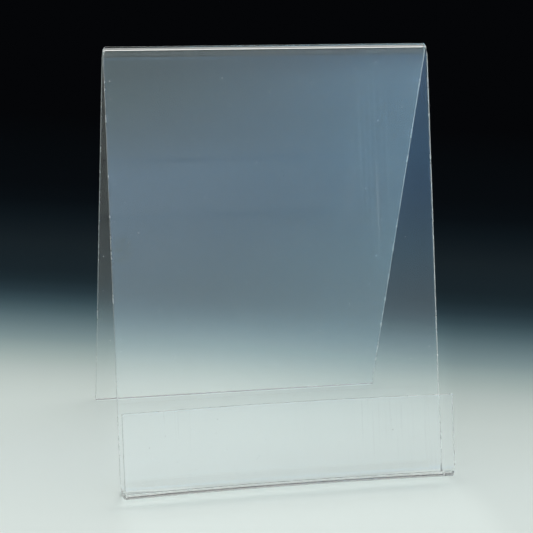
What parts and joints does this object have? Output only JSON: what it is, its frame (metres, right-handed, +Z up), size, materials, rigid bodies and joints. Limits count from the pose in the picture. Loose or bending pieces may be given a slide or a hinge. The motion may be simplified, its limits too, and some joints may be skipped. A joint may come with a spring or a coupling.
{
  "type": "display easel",
  "caption": "Clear bent-sheet tabletop easel: backward-leaning panel with a shelf and lip that hold a sign, menu or book, and a rear leg folded back over the top.",
  "frame": {"origin": "middle of the footprint on the table: halfway across the sheet's width, halfway between the foremost point of the front bottom bend and the rearmost point of the rear leg, at table height", "axes": "+Z up; the front panel faces -Y, towards the reader; +X is the reader's right"},
  "size_m": [0.216, 0.2018, 0.2774],
  "materials": {
    "clear_acrylic": "clear cast acrylic, glossy faces, polished cut edges"
  },
  "bodies": {
    "root": {"front_panel": "clear_acrylic", "top_fold": "clear_acrylic", "rear_leg": "clear_acrylic", "rear_bottom_bend": "clear_acrylic", "shelf": "clear_acrylic", "front_bottom_bend": "clear_acrylic", "front_lip": "clear_acrylic"}
  },
  "joints": []
}
